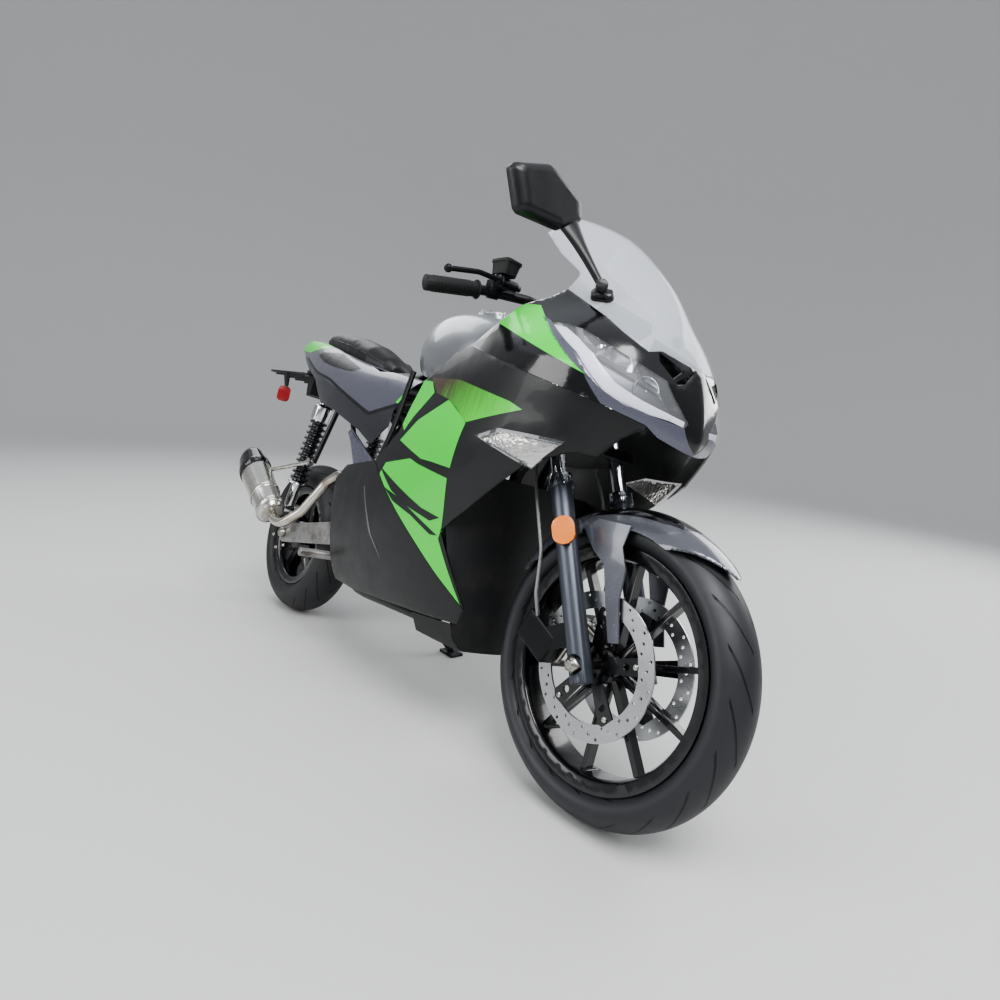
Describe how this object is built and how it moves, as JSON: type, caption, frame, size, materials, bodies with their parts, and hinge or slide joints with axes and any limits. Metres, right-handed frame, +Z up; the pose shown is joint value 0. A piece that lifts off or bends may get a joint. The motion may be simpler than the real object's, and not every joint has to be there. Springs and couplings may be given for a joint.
{
  "type": "motorcycle",
  "caption": "Light sport motorcycle with a full fairing, twin front discs, a single seat with a pillion pad and a silencer on the right, leaning on its side stand.",
  "frame": {"origin": "middle of the parked machine's footprint, on the ground", "axes": "+X forward, +Y to the machine's left, +Z up"},
  "size_m": [2.1849, 0.7094, 1.2065],
  "materials": {
    "black_alloy": "satin black",
    "cast_alloy": "cast",
    "clear_lens": "clear",
    "disc_steel": "brushed",
    "fork_alloy": "satin",
    "frame_paint": "satin black",
    "gloss_black": "gloss",
    "green_fade": "gloss, grey to green",
    "grip_rubber": "matt",
    "lilac_grey": "gloss",
    "seat_vinyl": "satin",
    "silencer_steel": "satin",
    "silver_paint": "gloss metallic",
    "smoke_screen": "clear",
    "trim_plastic": "matt",
    "tyre_rubber": "matt",
    "wheel_paint": "gloss black",
    "zinc_steel": "plated"
  },
  "bodies": {
    "chassis": {"upper_cowl": "gloss_black", "side_fairings": "green_fade", "lower_covers": "lilac_grey", "belly_pan": "trim_plastic", "headlights": "clear_lens", "indicators": "clear_lens", "inner_wall": "trim_plastic", "windscreen": "smoke_screen", "mirror_pads": "trim_plastic", "mirror_right": "gloss_black", "main_frame": "frame_paint", "fuel_tank": "silver_paint", "rider_seat": "seat_vinyl", "pillion_pad": "seat_vinyl", "tail_cowl": "lilac_grey", "number_plate_bracket": "trim_plastic", "rear_reflector": "clear_lens", "instrument_panel": "trim_plastic", "tail_pillars": "trim_plastic", "side_covers": "trim_plastic", "engine_block": "cast_alloy", "transmission_case": "cast_alloy", "axle_arm": "cast_alloy", "rear_axle": "zinc_steel", "rear_shocks": "zinc_steel", "silencer": "silencer_steel", "exhaust_pipe": "zinc_steel", "footpegs": "cast_alloy"},
    "steering": {"fork_legs": "fork_alloy", "lower_yoke": "black_alloy", "upper_yoke": "black_alloy", "front_axle": "zinc_steel", "front_calipers": "black_alloy", "front_fender": "gloss_black", "handlebar": "frame_paint", "grips": "grip_rubber", "brake_levers": "cast_alloy", "brake_reservoir": "trim_plastic", "brake_hose": "zinc_steel", "fork_reflectors": "clear_lens"},
    "front_wheel": {"front_tyre": "tyre_rubber", "front_rim": "wheel_paint", "front_discs": "disc_steel"},
    "rear_wheel": {"rear_tyre": "tyre_rubber", "rear_rim": "wheel_paint"},
    "side_stand_arm": {"side_stand": "frame_paint"},
    "filler_lid": {"filler_cap": "cast_alloy"}
  },
  "joints": [
    {"name": "steering_turn", "type": "hinge", "parent": "chassis", "child": "steering", "pos_m": [0.49918, -0.02203, 0.76697], "axis": [-0.4695, 0.1911, 0.862], "range_deg": [-30, 30]},
    {"name": "front_wheel_spin", "type": "hinge", "parent": "steering", "child": "front_wheel", "pos_m": [0.8005, -0.12856, 0.28649], "axis": [0, 0.9763, -0.2164], "continuous": true},
    {"name": "rear_wheel_spin", "type": "hinge", "parent": "chassis", "child": "rear_wheel", "pos_m": [-0.5445, -0.13848, 0.24174], "axis": [0, 0.9763, -0.2164], "continuous": true},
    {"name": "side_stand_fold", "type": "hinge", "parent": "chassis", "child": "side_stand_arm", "pos_m": [-0.0245, -0.03443, 0.14738], "axis": [0, 0.9109, 0.4126], "range_deg": [0, 100]},
    {"name": "filler_cap_open", "type": "hinge", "parent": "chassis", "child": "filler_lid", "pos_m": [0.2075, 0.02344, 0.9721], "axis": [0, 0.9763, -0.2164], "range_deg": [0, 95]}
  ]
}
